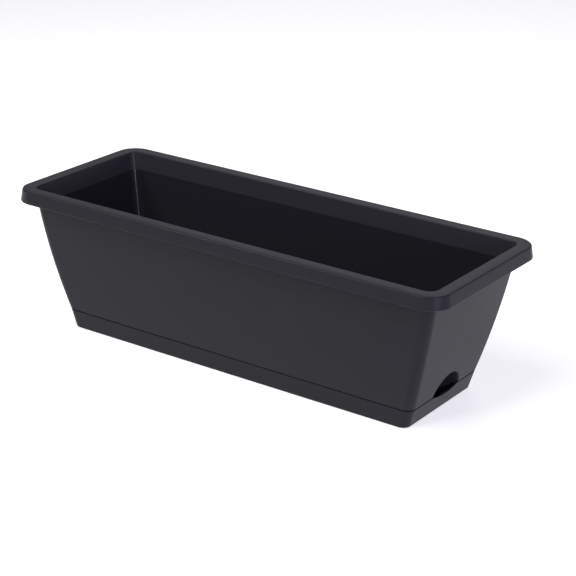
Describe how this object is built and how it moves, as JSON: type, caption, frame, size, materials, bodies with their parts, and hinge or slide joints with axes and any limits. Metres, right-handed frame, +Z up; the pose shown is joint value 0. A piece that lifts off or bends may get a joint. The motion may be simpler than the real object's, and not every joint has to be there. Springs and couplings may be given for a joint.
{
  "type": "trough planter",
  "caption": "Long tapered trough planter for vegetables, with a turned-down rim, that lifts out of a flush saucer and is watered through an arched scoop at each end.",
  "frame": {"origin": "on the ground under the middle of the planter", "axes": "+X along the length, towards the end that the picture shows; the front looks to -Y; +Z is up"},
  "size_m": [0.5, 0.19, 0.15],
  "materials": {
    "pot_plastic": "anthracite moulded polypropylene, fine satin grain",
    "saucer_plastic": "anthracite moulded polypropylene, fine satin grain"
  },
  "bodies": {
    "saucer": {"saucer": "saucer_plastic"},
    "pot": {"pot": "pot_plastic"}
  },
  "joints": [
    {"name": "pot_lift", "type": "slide", "parent": "saucer", "child": "pot", "axis": [0, 0, 1], "range_m": [0, 0.05]}
  ]
}
